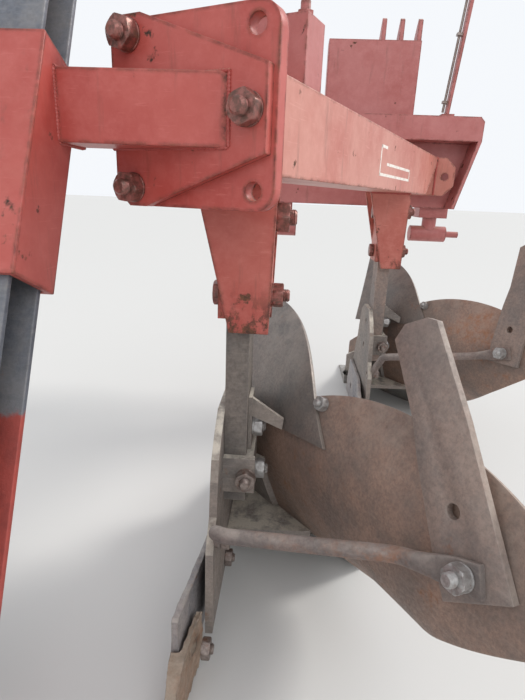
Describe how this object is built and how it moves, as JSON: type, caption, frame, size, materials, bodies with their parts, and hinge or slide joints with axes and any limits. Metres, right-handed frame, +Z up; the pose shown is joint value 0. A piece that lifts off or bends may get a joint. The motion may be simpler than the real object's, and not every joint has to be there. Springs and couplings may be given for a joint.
{
  "type": "mounted mouldboard plough",
  "caption": "Right-turning tractor-mounted mouldboard plough with an oblique beam, headstock, raked depth wheel, trashboards and swung tail plates.",
  "frame": {"origin": "middle of the plough's bounding box, on the ground it stands on", "axes": "+Y along the way of travel, +X to the right, where the furrow is turned, +Z up"},
  "size_m": [1.202, 1.9814, 1.5372],
  "materials": {
    "red_paint": "old red paint, faded, chipped and dirty",
    "soil_steel": "rust-brown soil-scoured steel",
    "cast": "rough, soil-crusted cast steel",
    "bare_steel": "dull bare steel with rust spots",
    "tyre_black": "dusty black rubber"
  },
  "bodies": {
    "frame": {"main_beam": "red_paint", "beam_front_plate": "red_paint", "rear_flange": "red_paint", "arm_plate": "red_paint", "flange_bolts": "bare_steel", "wheel_arm": "red_paint", "wheel_sleeve": "red_paint", "beam_bracket": "red_paint", "headstock_frame": "red_paint", "cross_tube": "red_paint", "tower_panel": "red_paint", "top_link_ears": "red_paint", "link_pin_left": "red_paint", "link_pin_right": "red_paint", "lever_bar": "red_paint", "lever_latch": "bare_steel", "rear_leg": "red_paint", "rear_leg_bolts": "bare_steel", "rear_shank": "soil_steel", "rear_frog": "cast", "rear_landside": "soil_steel", "rear_heel": "soil_steel", "rear_share": "soil_steel", "rear_mouldboard": "soil_steel", "rear_trashboard": "soil_steel", "rear_tail_plate": "soil_steel", "rear_brace_rod": "soil_steel", "rear_board_bolts": "bare_steel", "front_leg": "red_paint", "front_leg_bolts": "bare_steel", "front_shank": "soil_steel", "front_frog": "cast", "front_landside": "soil_steel", "front_heel": "soil_steel", "front_share": "soil_steel", "front_mouldboard": "soil_steel", "front_trashboard": "soil_steel", "front_tail_plate": "soil_steel", "front_brace_rod": "soil_steel", "front_board_bolts": "bare_steel"},
    "wheel_leg": {"wheel_post": "bare_steel", "lifting_screw": "bare_steel", "screw_crank": "red_paint", "wheel_carrier": "red_paint"},
    "wheel": {"wheel_rim": "red_paint", "wheel_tyre": "tyre_black"}
  },
  "joints": [
    {"name": "depth_slide", "type": "slide", "parent": "frame", "child": "wheel_leg", "axis": [0, 0.4226, 0.9063], "range_m": [0, 0.12]},
    {"name": "wheel_spin", "type": "hinge", "parent": "wheel_leg", "child": "wheel", "pos_m": [-0.52003, -0.74072, 0.25], "axis": [1, 0, 0], "continuous": true}
  ]
}
